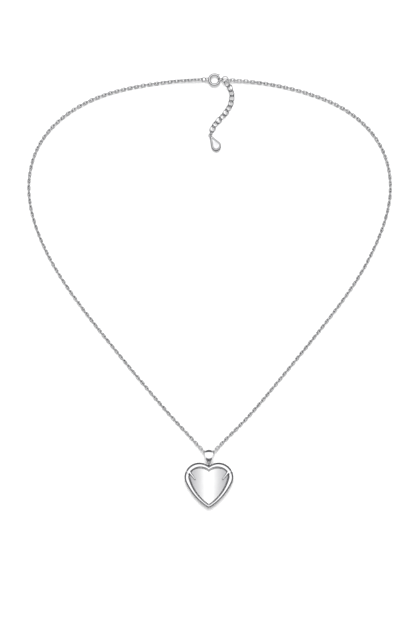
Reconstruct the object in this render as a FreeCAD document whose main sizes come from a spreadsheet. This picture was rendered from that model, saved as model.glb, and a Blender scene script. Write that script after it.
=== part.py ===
import FreeCAD, Part
import math
import os

import Sketcher
from FreeCAD import Placement, Rotation, Vector

# A heart pendant on a cable chain, laid out flat on a table: X to the wearer's left, Y up the chest,
# +Z towards the viewer. The origin is the middle of the pendant's flat back, and the table is Z = 0.

doc = FreeCAD.newDocument("heart_pendant_necklace")

# ---------------------------------------------------------------- driving sizes, in millimetres and degrees
SIZES = {
    # heart outline from the front, right half: crown over the lobe, shoulder, long side, rounded tip
    "crown_offset": 3.9,
    "crown_height": 3.03,
    "shoulder_offset": 4.55,
    "shoulder_height": 3.29,
    "half_width": 9.75,
    "side_radius": 24.0,
    "tip_drop": 8.8,
    "tip_radius": 1.3,
    # opening in the rim that shows the stone, and the rim's width beside and below it
    "window_crown_offset": 3.6,
    "window_crown_height": 1.47,
    "window_shoulder_offset": 4.55,
    "window_shoulder_height": 3.707,
    "window_side_radius": 18.0,
    "window_tip_radius": 0.4,
    "rim_side": 2.0,
    "rim_foot": 1.2,
    # setting: back plate, rims standing on it, stone under the rims' lip
    "plate_thick": 0.8,
    "plate_inset": 0.12,
    "rim_top": 3.0,
    "lip_thick": 1.0,
    "lip_overlap": 0.3,
    "rim_outer_round": 0.7,
    "rim_inner_round": 0.4,
    "stone_gap": 0.03,
    "stone_sunk": 0.28,
    "stone_bevel": 0.32,
    # where each lobe of the upper rim ends beside the lower rim, and its claw
    "split_outer_rise": 6.61,
    "split_inner_drop": 2.19,
    "split_gap": 0.2,
    "claw_root_in": 0.2,
    "claw_root_rise": 1.61,
    "claw_tip_in": 2.25,
    "claw_tip_drop": 0.74,
    "claw_root_radius": 0.6,
    "claw_tip_radius": 0.22,
    "claw_clear": 0.03,
    # eyelet, jump ring and bail above the cleft
    "eyelet_room": 0.3,
    "eyelet_wire": 0.5,
    "eyelet_rise": 0.343,
    "jump_radius": 1.1,
    "jump_wire": 0.7,
    "bail_strip": 0.4,
    "bail_top_radius": 1.7,
    "bail_foot_radius": 1.1,
    "bail_hole_room": 0.35,
    "bail_fold": 0.35,
    "bail_slack": 0.5,
    "chain_settle": 0.1,
    # cable chain link
    "link_long": 2.2,
    "link_wire": 0.4,
    "link_room": 0.1,
    "play": 0.05,
    "chain_lean": 18.0,
    "clasp_lean": 52.0,
    # spring-ring clasp
    "clasp_radius": 2.05,
    "clasp_floor_gap": 0.074,
    "clasp_tube": 0.9,
    "bolt_wire": 0.54,
    "bolt_slack": 0.03,
    "gap_from": -25.0,
    "gap_to": 40.0,
    "bolt_tail": 110.0,
    "bolt_travel": 60.0,
    "bore_end": 190.0,
    "bolt_seat": 8.0,
    "tab_angle": 48.0,
    "tab_size": 0.34,
    "tab_head": 0.44,
    "tab_reach": 0.35,
    "tab_room": 6.0,
    "loop_radius": 0.625,
    "loop_wire": 0.35,
    "loop_sink": 0.1,
    "clasp_jump_radius": 0.975,
    "clasp_jump_wire": 0.35,
    # rings on the far side of the clasp
    "catch_radius": 1.225,
    "catch_wire": 0.45,
    "catch_link_radius": 0.98,
    "catch_link_wire": 0.36,
    "catch_link_roll": 75.0,
    "strand_leaves": -4.0,
    "extender_leaves": -66.0,
    # extender and its tag
    "ext_radius": 1.31,
    "ext_wire": 0.42,
    "ext_roll": 45.0,
    "ext_play": 0.1,
    "tag_ring_radius": 0.8,
    "tag_ring_wire": 0.3,
    "tag_ring_aside": 15.0,
    "tag_ring_roll": 62.0,
    "tag_leaves": -65.0,
    "tag_radius": 1.95,
    "tag_tip_radius": 0.62,
    "tag_long": 6.2,
    "tag_thick": 1.6,
    "tag_round": 0.6,
    "tag_eye_radius": 0.55,
    "tag_eye_wire": 0.3,
    "tag_eye_gap": 0.05,
    "extender_rings": 11,
}

# sizes that follow from those above, so that what fits together stays fitted
FITTED = {
    "shoulder_radius": "=half_width - shoulder_offset",
    "crown_step": "=sqrt((shoulder_offset - crown_offset)^2 + (shoulder_height - crown_height)^2)",
    "crown_radius": "=shoulder_radius + crown_step",
    "cleft_height": "=crown_height + sqrt(crown_radius^2 - crown_offset^2)",
    "window_half_width": "=half_width - rim_side",
    "window_tip_drop": "=tip_drop - rim_foot",
    "window_shoulder_radius": "=window_half_width - window_shoulder_offset",
    "window_step_x": "=window_shoulder_offset - window_crown_offset",
    "window_step_y": "=window_shoulder_height - window_crown_height",
    "window_crown_radius": "=window_shoulder_radius + sqrt(window_step_x^2 + window_step_y^2)",
    "stone_top": "=rim_top - stone_sunk",
    "lip_under": "=rim_top - lip_thick",
    "outer_round": "=min(rim_outer_round; 0.6 * rim_foot)",
    "inner_round": "=min(rim_inner_round; 0.35 * rim_foot)",
    "eyelet_radius": "=eyelet_wire / 2 + jump_wire / 2 + eyelet_room",
    "eyelet_height": "=cleft_height + eyelet_rise",
    "bail_hole": "=jump_wire + bail_hole_room",
    "bail_length": "=bail_hole + bail_fold + 2 * bail_top_radius",
    "hang_level": "=bail_top_radius",
    "link_wide": "=3 * link_wire + 2 * link_room",
    "clasp_bore": "=bolt_wire + 2 * bolt_slack",
}

sheet = doc.addObject("Spreadsheet::Sheet", "Sizes")
for row, (alias, value) in enumerate({**SIZES, **FITTED}.items(), start=1):
    sheet.set(f"A{row}", alias)
    sheet.set(f"B{row}", str(value))
    sheet.setAlias(f"B{row}", alias)
doc.recompute()


def size(alias):
    return float(sheet.get(alias))


def bind(obj, **formulas):
    for name, formula in formulas.items():
        obj.setExpression(name, formula)


NODES = []
UP = Vector(0, 0, 1)


def node(obj, name, placement=None):
    """Give a finished sub-part its name and its place."""
    obj.Label = name
    if placement is not None:
        obj.Placement = placement
    NODES.append(obj)
    return obj


# ---------------------------------------------------------------- heart outlines
def half_heart_arcs(prefix, grow):
    """Centres and radii of the right half's four arcs: crown, shoulder, side and tip."""
    crown_radius = size(prefix + "crown_radius") + grow
    crown = Vector(size(prefix + "crown_offset"), size(prefix + "crown_height"), 0)
    shoulder_radius = size(prefix + "shoulder_radius") + grow
    across = size(prefix + "half_width") + grow - shoulder_radius
    reach = crown_radius - shoulder_radius
    rise = math.sqrt(reach**2 - (across - crown.x) ** 2)
    shoulder = Vector(across, crown.y + rise, 0)
    tip_radius = size(prefix + "tip_radius") + grow
    tip = Vector(0, tip_radius - size(prefix + "tip_drop") - grow, 0)
    side_radius = size(prefix + "side_radius") + grow
    side = circles_meet(shoulder, side_radius - shoulder_radius, tip, side_radius - tip_radius)
    return [(crown, crown_radius), (shoulder, shoulder_radius), (side, side_radius), (tip, tip_radius)]


def circles_meet(first, first_radius, second, second_radius):
    """The crossing of two circles that lies to the left of the line from the second to the first."""
    line = first - second
    apart = line.Length
    line.normalize()
    along = (apart**2 + second_radius**2 - first_radius**2) / (2 * apart)
    aside = math.sqrt(second_radius**2 - along**2)
    return second + line * along + Vector(-line.y, line.x, 0) * aside


def touch_angle(outer, inner):
    """Direction in which a smaller circle touches a larger one from inside."""
    return math.atan2(inner.y - outer.y, inner.x - outer.x)


def half_heart(body, name, prefix="", grow="0 mm", lift=None):
    """A closed sketch of the heart's right half, `grow` larger all round than the named outline."""
    sketch = body.newObject("Sketcher::SketchObject", name)
    plane = next(f for f in body.Origin.OriginFeatures if f.Role == "XY_Plane")
    sketch.AttachmentSupport = [(plane, "")]
    sketch.MapMode = "FlatFace"
    if lift:
        sketch.setExpression("AttachmentOffset.Base.z", lift)
    amount = grow_value(grow)
    (crown, r_crown), (shoulder, r_shoulder), (side, r_side), (tip, r_tip) = half_heart_arcs(prefix, amount)
    cleft = Vector(0, crown.y + math.sqrt(r_crown**2 - crown.x**2), 0)
    up = touch_angle(crown, shoulder)
    out = touch_angle(side, shoulder)
    low = touch_angle(side, tip)
    spans = [
        (crown, r_crown, up, math.atan2(cleft.y - crown.y, cleft.x - crown.x)),
        (shoulder, r_shoulder, out, up),
        (side, r_side, low, out),
        (tip, r_tip, -math.pi / 2, low),
    ]
    for centre, radius, start, end in spans:
        circle = Part.Circle(centre, Vector(0, 0, 1), radius)
        sketch.addGeometry(Part.ArcOfCircle(circle, start, end))
    sketch.addGeometry(Part.LineSegment(cleft, tip + Vector(0, -r_tip, 0)))
    for upper, lower in ((0, 1), (1, 2), (2, 3)):
        sketch.addConstraint(Sketcher.Constraint("Tangent", upper, 1, lower, 2))
    sketch.addConstraint(Sketcher.Constraint("Coincident", 0, 2, 4, 1))
    sketch.addConstraint(Sketcher.Constraint("Coincident", 3, 1, 4, 2))
    for part, point in ((4, 1), (4, 2), (3, 3)):
        sketch.addConstraint(Sketcher.Constraint("PointOnObject", part, point, -2))
    radii = ("crown_radius", "shoulder_radius", "side_radius", "tip_radius")
    for index, word in enumerate(radii):
        driven(sketch, "Radius", (index,), spans[index][1], word, f"Sizes.{prefix}{word} * 1 mm + {grow}")
    driven(sketch, "DistanceX", (-1, 1, 0, 3), crown.x, "crown_x", f"Sizes.{prefix}crown_offset * 1 mm")
    driven(sketch, "DistanceY", (-1, 1, 0, 3), crown.y, "crown_y", f"Sizes.{prefix}crown_height * 1 mm")
    across = f"(Sizes.{prefix}half_width - Sizes.{prefix}shoulder_radius) * 1 mm"
    driven(sketch, "DistanceX", (-1, 1, 1, 3), shoulder.x, "shoulder_x", across)
    drop = f"(Sizes.{prefix}tip_drop - Sizes.{prefix}tip_radius) * 1 mm"
    driven(sketch, "DistanceY", (3, 3, -1, 1), -tip.y, "tip_y", drop)
    return sketch


def driven(sketch, kind, where, value, name, formula):
    index = sketch.addConstraint(Sketcher.Constraint(kind, *where, value))
    sketch.renameConstraint(index, name)
    sketch.setExpression(f"Constraints.{name}", formula)


def grow_value(formula):
    """The present value of a `grow` formula, for the sketch's first shape."""
    sheet.set("D1", "=" + formula.replace("Sizes.", ""))
    doc.recompute()
    value = sheet.get("D1")
    return float(getattr(value, "Value", value))


def mirrored_whole(half, name):
    """The left half is the right one mirrored, and the two are one piece."""
    other = doc.addObject("Part::Mirroring", name + "_left")
    other.Source = half
    other.Normal = Vector(1, 0, 0)
    whole = doc.addObject("Part::Fuse", name)
    whole.Base = half
    whole.Tool = other
    whole.Refine = True
    return whole


def pad(body, sketch, name, length):
    feature = body.newObject("PartDesign::Pad", name)
    feature.Profile = sketch
    feature.setExpression("Length", length)
    return feature


def pocket(body, sketch, name, length):
    """A pocket that cuts upwards, along +Z, from its sketch."""
    feature = body.newObject("PartDesign::Pocket", name)
    feature.Profile = sketch
    feature.Reversed = True
    feature.setExpression("Length", length)
    return feature


def top_edges(shape, level):
    """Names of the edges that lie at a height, without those on the plane where the halves meet."""
    names = []
    for index, edge in enumerate(shape.Edges, start=1):
        box = edge.BoundBox
        at_level = abs(box.ZMin - level) < 1e-4 and abs(box.ZMax - level) < 1e-4
        on_seam = box.XMax < 1e-4
        if at_level and not on_seam:
            names.append(f"Edge{index}")
    return names


def dressed(body, kind, base, name, edges, radius):
    feature = body.newObject(kind, name)
    feature.Base = (base, edges)
    feature.setExpression("Radius" if kind.endswith("Fillet") else "Size", radius)
    return feature


# ---------------------------------------------------------------- setting
def half_body(name):
    return doc.addObject("PartDesign::Body", name)


def back_plate():
    """Heart plate that closes the setting's back and carries the stone."""
    body = half_body("BackPlateHalf")
    outline = half_heart(body, "PlateOutline", grow="-Sizes.plate_inset * 1 mm")
    pad(body, outline, "Plate", "Sizes.plate_thick * 1 mm")
    return node(mirrored_whole(body, "BackPlate"), "back_plate")


def half_rim(name):
    """Half of the polished rim: a band round the stone with an inner lip that holds it."""
    body = half_body(name)
    floor = "Sizes.plate_thick * 1 mm"
    outline = half_heart(body, name + "Outline", lift=floor)
    band = pad(body, outline, name + "Band", "(Sizes.rim_top - Sizes.plate_thick) * 1 mm")
    doc.recompute()
    crown = top_edges(band.Shape, size("rim_top"))
    outer = dressed(body, "PartDesign::Fillet", band, name + "Crown", crown, "Sizes.outer_round * 1 mm")
    seat = half_heart(body, name + "Seat", "window_", "Sizes.lip_overlap * 1 mm", floor)
    pocket(body, seat, name + "SeatCut", "(Sizes.lip_under - Sizes.plate_thick) * 1 mm")
    window = half_heart(body, name + "Window", "window_", lift=floor)
    opened = pocket(body, window, name + "WindowCut", "Sizes.rim_top * 1 mm")
    doc.recompute()
    inner = inner_edges(opened.Shape)
    dressed(body, "PartDesign::Fillet", opened, name + "Lip", inner, "Sizes.inner_round * 1 mm")
    return body


def inner_edges(shape):
    """Edges of the window at the rim's top: those nearest the heart's middle."""
    reach = size("window_half_width") + size("inner_round")
    names = top_edges(shape, size("rim_top"))
    return [n for n in names if shape.getElement(n).BoundBox.XMax < reach]


def split_block(name, upper):
    """Half of all that lies above, or below, the steep seam between the upper and the lower rim."""
    beside = 1.0
    widest_at = size("shoulder_height")
    outer = Vector(size("half_width") + beside, widest_at + size("split_outer_rise"), 0)
    inner = Vector(size("window_half_width") - beside, widest_at - size("split_inner_drop"), 0)
    seam = (outer - inner).normalize()
    step = Vector(-seam.y, seam.x, 0) * ((1 if upper else -1) * size("split_gap") / 2)
    far = (2 if upper else -2) * size("half_width")
    ends = [Vector(outer.x, far, 0), Vector(-beside, far, 0), Vector(-beside, inner.y, 0)]
    corners = [inner + step, outer + step] + ends
    block = doc.addObject("Part::Feature", name)
    block.Shape = Part.Face(Part.makePolygon(corners + corners[:1])).extrude(UP * 2 * size("rim_top"))
    return block


def common(name, first, second):
    obj = doc.addObject("Part::Common", name)
    obj.Base = first
    obj.Tool = second
    return obj


def claw(name):
    """Tapered prong from the end of the upper rim down on to the stone, with a round tip."""
    root_level = size("rim_top") - size("claw_root_radius")
    tip_level = size("stone_top") + size("claw_clear") + size("claw_tip_radius")
    window_edge, widest_at = size("window_half_width"), size("shoulder_height")
    root = Vector(window_edge - size("claw_root_in"), widest_at + size("claw_root_rise"), root_level)
    tip = Vector(window_edge - size("claw_tip_in"), widest_at - size("claw_tip_drop"), tip_level)
    prong = doc.addObject("Part::Cone", name + "Prong")
    bind(prong, Radius1="Sizes.claw_root_radius * 1 mm", Radius2="Sizes.claw_tip_radius * 1 mm")
    prong.Height = (tip - root).Length
    prong.Placement = Placement(root, Rotation(Vector(0, 0, 1), tip - root))
    end = doc.addObject("Part::Sphere", name + "Tip")
    bind(end, Radius="Sizes.claw_tip_radius * 1 mm")
    end.Placement.Base = tip
    return [prong, end]


def rims():
    """The lower rim is the V round the tip; the upper rim covers both lobes and ends in two claws."""
    lower_half = common("RimLowerHalf", half_rim("RimA"), split_block("BelowSeam", False))
    lower = node(mirrored_whole(lower_half, "RimLower"), "rim_lower")
    upper_band = common("RimUpperBand", half_rim("RimB"), split_block("AboveSeam", True))
    upper_half = doc.addObject("Part::MultiFuse", "RimUpperHalf")
    upper_half.Shapes = [upper_band] + claw("Claw")
    upper_clear = doc.addObject("Part::Cut", "RimUpperClear")
    upper_clear.Base = upper_half
    upper_clear.Tool = seat_clearance()
    upper = node(mirrored_whole(upper_clear, "RimUpper"), "rim_upper")
    return lower, upper


def seat_clearance():
    """The room that the stone takes, which the claws' roots must leave."""
    body = half_body("SeatRoom")
    outline = half_heart(body, "SeatRoomOutline", "window_", "Sizes.lip_overlap * 1 mm")
    pad(body, outline, "SeatRoomPad", "Sizes.lip_under * 1 mm")
    above = half_heart(body, "DomeRoomOutline", "window_")
    pad(body, above, "DomeRoomPad", "(Sizes.stone_top + Sizes.stone_gap) * 1 mm")
    return body


def stone():
    """Heart cabochon: an upright girdle under the lip, then a bevel up to the flat-domed top."""
    body = half_body("StoneHalf")
    floor = "Sizes.plate_thick * 1 mm"
    girdle = half_heart(body, "Girdle", "window_", "(Sizes.lip_overlap - Sizes.stone_gap) * 1 mm", floor)
    pad(body, girdle, "GirdlePad", "(Sizes.lip_under - Sizes.stone_gap - Sizes.plate_thick) * 1 mm")
    dome = half_heart(body, "DomeOutline", "window_", "-Sizes.stone_gap * 1 mm", floor)
    top = pad(body, dome, "DomePad", "(Sizes.stone_top - Sizes.plate_thick) * 1 mm")
    doc.recompute()
    edges = top_edges(top.Shape, size("stone_top"))
    widest = "(Sizes.window_tip_radius - 2 * Sizes.stone_gap) * 1 mm"
    dressed(body, "PartDesign::Chamfer", top, "Bevel", edges, f"min(Sizes.stone_bevel * 1 mm; {widest})")
    return node(mirrored_whole(body, "Stone"), "stone")


back_plate()
rim_lower, rim_upper = rims()
stone()


# ---------------------------------------------------------------- rings and bail above the cleft
def frame_at(origin, along, up):
    """A placement with local X along a direction, and local Z as near to `up` as it can be."""
    x = Vector(along).normalize()
    y = Vector(up).cross(x).normalize()
    return Placement(origin, Rotation(x, y, x.cross(y), "XYZ"))


def rolled(placement, degrees):
    """Turn a placement about its own local X."""
    return placement.multiply(Placement(Vector(), Rotation(Vector(1, 0, 0), degrees)))


def torus(name, radius, wire):
    """A closed ring of round wire: `radius` is that of the wire's middle line, in the local XY plane."""
    ring = doc.addObject("Part::Torus", name)
    bind(ring, Radius1=f"Sizes.{radius} * 1 mm", Radius2=f"Sizes.{wire} * 0.5 mm")
    return ring


LEVEL = size("hang_level")
PLAY = size("play")

eyelet_top = size("eyelet_height") + size("eyelet_radius")
jump_foot = eyelet_top - size("eyelet_wire") / 2 - PLAY - size("jump_wire") / 2
jump_centre = jump_foot + size("jump_radius")
jump_top = jump_centre + size("jump_radius")
jump_room = size("jump_radius") - size("jump_wire") / 2 - PLAY
bail_foot = jump_centre + math.sqrt(jump_room**2 - size("bail_strip") ** 2) - size("bail_strip")

eyelet_ring = torus("EyeletRing", "eyelet_radius", "eyelet_wire")
eyelet_ring.Placement.Base = Vector(0, size("eyelet_height"), LEVEL)
eyelet = doc.addObject("Part::Cut", "Eyelet")
eyelet.Base = eyelet_ring
eyelet.Tool = rim_upper
node(eyelet, "eyelet")

upright = rolled(frame_at(Vector(0, jump_centre, LEVEL), Vector(0, 1, 0), UP), 90)
node(torus("JumpRing", "jump_radius", "jump_wire"), "jump_ring", upright)


def tapered_outline(top_y, top_r, foot_y, foot_r, turn):
    """Outline of a belt round two circles, one above the other; `turn` maps (across, y) to a point."""
    lean = math.asin((top_r - foot_r) / (top_y - foot_y))
    points = []
    for y, r in ((top_y, top_r), (foot_y, foot_r)):
        points.append((r * math.cos(lean), y - r * math.sin(lean)))
    (top_x, high), (foot_x, low) = points
    edges = [
        Part.Arc(turn(-top_x, high), turn(0, top_y + top_r), turn(top_x, high)).toShape(),
        Part.makeLine(turn(top_x, high), turn(foot_x, low)),
        Part.Arc(turn(foot_x, low), turn(0, foot_y - foot_r), turn(-foot_x, low)).toShape(),
        Part.makeLine(turn(-foot_x, low), turn(-top_x, high)),
    ]
    return Part.Face(Part.Wire(edges))


def from_side(across, y):
    return Vector(-size("bail_top_radius"), y, LEVEL + across)


def from_front(across, y):
    return Vector(across, y, 0)


def bail():
    """Folded strip: a hoop for the chain whose two ends lie together and share the hole for the ring."""
    top_r = size("bail_top_radius")
    foot_r = size("bail_foot_radius")
    strip = size("bail_strip")
    top_y = bail_foot + size("bail_length") - top_r
    hole_y = bail_foot + strip + size("bail_hole") / 2
    width = Vector(2 * top_r, 0, 0)
    outside = tapered_outline(top_y, top_r, bail_foot + strip, strip, from_side).extrude(width)
    fold = hole_y + size("bail_hole") / 2 + size("bail_fold")
    inside = tapered_outline(top_y, top_r - strip, fold, strip / 3, from_side).extrude(width)
    front = tapered_outline(top_y, top_r, bail_foot + foot_r, foot_r, from_front).extrude(UP * 3 * top_r)
    hole = Part.makeCylinder(size("bail_hole") / 2, 3 * top_r, Vector(0, hole_y, 0))
    piece = doc.addObject("Part::Feature", "Bail")
    piece.Shape = outside.cut(inside).common(front).cut(hole)
    return node(piece, "bail")


bail()


# ---------------------------------------------------------------- cable chain
# Links stand and lie by turns. A standing link's two end wires act as pins: the links beside it turn
# about them. So a strand is a row of pins, one link long and then one inner gap apart.
LINK_PINS = size("link_long") - size("link_wire")
FLAT_PINS = size("link_long") - 3 * size("link_wire") - 2 * PLAY
FLOOR_LEVEL = (size("link_wide") - size("link_wire")) / 2 + size("link_wire") / 2
STRETCHES = 10

bail_top = bail_foot + size("bail_length")
chain_y = bail_top - size("bail_strip") - size("link_wire") - size("bail_slack")
chain_z = LEVEL - size("chain_settle")
TURN_OUT = 24.0
STRAND_SLOPE = 47.0
DESCENT_FROM = 1.0
DESCENT_TO = 8.0
LEAN_OVER = 20.0
FINISH_RISE = {-1: 0.03, 1: 0.06}

LEFT_ROUTE = [
    (-13.6, 25.9), (-26.0, 40.2), (-37.7, 54.4), (-49.2, 68.9), (-59.9, 84.2), (-68.2, 100.6),
    (-72.1, 118.6), (-67.8, 136.4), (-54.7, 149.9), (-37.8, 157.4), (-19.9, 160.9),
]
RIGHT_ROUTE = [
    (14.3, 25.9), (26.3, 39.8), (37.8, 53.8), (49.2, 68.2), (59.7, 83.0), (68.0, 99.1),
    (72.6, 116.9), (69.2, 134.8), (57.3, 148.4), (41.4, 156.2), (23.4, 160.6),
]
EXTENDER_ROUTE = [(9.1, 156.6), (8.6, 152.3), (5.2, 147.2), (1.5, 142.6), (0.9, 140.2)]


def lying_height(radius, wire, roll):
    """How high the middle of a ring is when it leans so far from flat on the table."""
    return size(radius) * math.sin(math.radians(size(roll))) + size(wire) / 2


highest_ring = max(
    lying_height("clasp_jump_radius", "clasp_jump_wire", "clasp_lean"),
    lying_height("catch_link_radius", "catch_link_wire", "catch_link_roll"),
    lying_height("ext_radius", "ext_wire", "ext_roll"),
)
CLASP = Vector(2.2, 162.2, highest_ring + size("clasp_floor_gap"))


def link_wire(name):
    """One oval link: a wire swept round two straight runs and two half circles, in its own XY plane."""
    body = doc.addObject("PartDesign::Body", name)
    path = body.newObject("Sketcher::SketchObject", name + "Path")
    planes = {f.Role: f for f in body.Origin.OriginFeatures}
    path.AttachmentSupport = [(planes["XY_Plane"], "")]
    path.MapMode = "FlatFace"
    reach = (size("link_long") - size("link_wide")) / 2
    bend = (size("link_wide") - size("link_wire")) / 2
    path.addGeometry(Part.LineSegment(Vector(-reach, bend, 0), Vector(reach, bend, 0)))
    right = Part.Circle(Vector(reach, 0, 0), UP, bend)
    path.addGeometry(Part.ArcOfCircle(right, -math.pi / 2, math.pi / 2))
    path.addGeometry(Part.LineSegment(Vector(reach, -bend, 0), Vector(-reach, -bend, 0)))
    left = Part.Circle(Vector(-reach, 0, 0), UP, bend)
    path.addGeometry(Part.ArcOfCircle(left, math.pi / 2, 3 * math.pi / 2))
    for first, first_end, second, second_end in ((0, 2, 1, 2), (2, 1, 1, 1), (2, 2, 3, 2), (0, 1, 3, 1)):
        path.addConstraint(Sketcher.Constraint("Tangent", first, first_end, second, second_end))
    path.addConstraint(Sketcher.Constraint("Horizontal", 0))
    path.addConstraint(Sketcher.Constraint("Symmetric", 1, 3, 3, 3, -1, 1))
    driven(path, "Radius", (1,), bend, "bend", "(Sizes.link_wide - Sizes.link_wire) * 0.5 mm")
    driven(path, "DistanceX", (3, 3, 1, 3), 2 * reach, "run", "(Sizes.link_long - Sizes.link_wide) * 1 mm")
    section = body.newObject("Sketcher::SketchObject", name + "Section")
    section.AttachmentSupport = [(planes["YZ_Plane"], "")]
    section.MapMode = "FlatFace"
    section.addGeometry(Part.Circle(Vector(bend, 0, 0), UP, size("link_wire") / 2))
    section.addConstraint(Sketcher.Constraint("PointOnObject", 0, 3, -1))
    driven(section, "Radius", (0,), size("link_wire") / 2, "wire", "Sizes.link_wire * 0.5 mm")
    aside = "(Sizes.link_wide - Sizes.link_wire) * 0.5 mm"
    driven(section, "DistanceX", (-1, 1, 0, 3), bend, "aside", aside)
    pipe = body.newObject("PartDesign::AdditivePipe", name + "Wire")
    pipe.Profile = section
    pipe.Spine = path
    return body


def smooth_step(value):
    value = min(max(value, 0.0), 1.0)
    return value * value * (3 - 2 * value)


class Strand:
    """One side of the chain, from the bail up to the clasp, as placed links and the joints between."""

    def __init__(self, side, route, last_pin, end_lean):
        self.side = side
        self.end_lean = end_lean
        slope = math.radians(STRAND_SLOPE)
        turn = math.radians(TURN_OUT)
        self.inner = Vector(side * LINK_PINS / 2, chain_y, chain_z)
        step = Vector(side * math.cos(turn), math.sin(turn), 0) * FLAT_PINS
        self.outer = self.inner + step
        points = [Vector(self.outer.x, self.outer.y, 0)]
        points += [Vector(x, y, 0) for x, y in route]
        points.append(Vector(last_pin.x, last_pin.y, 0))
        curve = Part.BSplineCurve()
        start = Vector(side * math.cos(slope), math.sin(slope), 0)
        finish = Vector(-side, FINISH_RISE[side], 0)
        curve.interpolate(Points=points, InitialTangent=start, FinalTangent=finish)
        self.curve = curve
        self.level_end = last_pin.z
        self.length = curve.length()
        self.pairs = round((self.length - LINK_PINS) / (LINK_PINS + FLAT_PINS))
        self.stretch = self.length / (self.pairs * (LINK_PINS + FLAT_PINS) + LINK_PINS)

    def pin(self, distance):
        """The pin that lies so far along the strand from the bail."""
        flat = self.curve.value(self.curve.parameterAtDistance(min(distance, self.length)))
        down = smooth_step((distance - DESCENT_FROM) / (DESCENT_TO - DESCENT_FROM))
        up = smooth_step((distance - self.length + 2 * DESCENT_TO) / (2 * DESCENT_TO))
        level = chain_z + (FLOOR_LEVEL - chain_z) * down + (self.level_end - FLOOR_LEVEL) * up
        return Vector(flat.x, flat.y, level)

    def lean(self, distance):
        away = smooth_step(distance / LEAN_OVER)
        near_end = smooth_step((distance - self.length + LEAN_OVER) / LEAN_OVER)
        lean = size("chain_lean") * away
        return -self.side * (lean + (self.end_lean - lean) * near_end)

    def links(self):
        """Placements of all links outside the bail, standing ones first, from the bail outwards."""
        placed = []
        at = 0.0
        for index in range(2 * self.pairs + 1):
            standing = index % 2 == 0
            span = (LINK_PINS if standing else FLAT_PINS) * self.stretch
            near, far = self.pin(at), self.pin(at + span)
            roll = self.lean(at + span / 2) + (90 if standing else 0)
            placed.append(rolled(frame_at((near + far) / 2, far - near, UP), roll))
            at += span
        return placed


def link_copies(name, link, placements):
    """Several copies of the link as one node."""
    group = doc.addObject("Part::Feature", name)
    group.Shape = Part.makeCompound([moved(link.Shape, place) for place in placements])
    return node(group, name)


def moved(shape, placement):
    copy = shape.copy()
    copy.Placement = placement.multiply(copy.Placement)
    return copy


def lift_axis(placement):
    """Where and about which line the next link turns: the wire at this flat link's far end."""
    reach = (size("link_long") - size("link_wire")) / 2
    return placement.multVec(Vector(reach, 0, 0)), placement.Rotation.multVec(Vector(0, 1, 0))


HINGES = []


def hinge(name, parent, child, where, axis):
    """Note a joint line of the design, so that it can be read off the model."""
    HINGES.append((name, parent, child, where, axis))


def inside(ring_radius, ring_wire, held_wire):
    """How far from a ring's centre another piece's wire lies when it is pulled against the ring."""
    return size(ring_radius) - size(ring_wire) / 2 - held_wire / 2 - PLAY


def heading(degrees):
    return Vector(math.cos(math.radians(degrees)), math.sin(math.radians(degrees)), 0)


# ---------------------------------------------------------------- where the clasp's rings lie
EAST = Vector(1, 0, 0)
BACK = Vector(0, 1, 0)
tube_outside = size("clasp_radius") + size("clasp_tube") / 2
loop_at = CLASP - EAST * (tube_outside + size("loop_radius") - size("loop_sink"))
jump_reach = inside("loop_radius", "loop_wire", size("clasp_jump_wire")) + size("clasp_jump_radius")
clasp_jump_at = loop_at - EAST * jump_reach
LEFT_END = clasp_jump_at - EAST * inside("clasp_jump_radius", "clasp_jump_wire", size("link_wire"))
bolt_to_link = inside("catch_link_radius", "catch_link_wire", size("bolt_wire"))
catch_link_at = CLASP + EAST * (size("clasp_radius") + bolt_to_link)
catch_reach = inside("catch_link_radius", "catch_link_wire", size("catch_wire")) + size("catch_radius")
catch_at = catch_link_at + EAST * catch_reach
strand_way = heading(size("strand_leaves"))
RIGHT_END = catch_at + strand_way * inside("catch_radius", "catch_wire", size("link_wire"))


def chain():
    """Ten stretches of links on each side of the three links that lie in the bail."""
    link = link_wire("Link")
    doc.recompute()
    middle = [rolled(Placement(Vector(0, chain_y, chain_z), Rotation()), 90)]
    last = {}
    sides = (
        (-1, "left", LEFT_ROUTE, LEFT_END, size("clasp_lean")),
        (1, "right", RIGHT_ROUTE, RIGHT_END, 0.0),
    )
    for side, word, route, last_pin, end_lean in sides:
        strand = Strand(side, route, last_pin, end_lean)
        flat = frame_at((strand.inner + strand.outer) / 2, strand.outer - strand.inner, UP)
        middle.append(flat)
        links = strand.links()
        breaks = [2 * round(strand.pairs * number / STRETCHES) for number in range(STRETCHES)]
        breaks.append(len(links))
        parent = "chain_middle"
        for number in range(STRETCHES):
            first, end = breaks[number], breaks[number + 1]
            name = f"chain_{word}_{number + 1:02d}"
            link_copies(name, link, links[first:end])
            hinge(f"{name}_lift", parent, name, *lift_axis(flat))
            parent, flat = name, links[end - 1]
        last[word] = links[-1]
        print(f"{word} strand: {strand.length:.1f} mm, {len(links)} links, spacing x {strand.stretch:.4f}")
    link_copies("chain_middle", link, middle)
    return last


def arc_rod(name, radius, start, sweep):
    """A torus sector: round rod bent round the clasp's centre, from a start angle in degrees."""
    rod = doc.addObject("Part::Torus", name)
    bind(rod, Radius1="Sizes.clasp_radius * 1 mm", Radius2=radius, Angle3=sweep)
    rod.Placement = Placement(CLASP, Rotation(UP, start))
    return rod


def cut(name, base, *tools):
    """The base with every tool cut away."""
    for number, tool in enumerate(tools):
        final = number == len(tools) - 1
        piece = doc.addObject("Part::Cut", name if final else f"{name}Step{number}")
        piece.Base = base
        piece.Tool = tool
        base = piece
    return base


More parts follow.
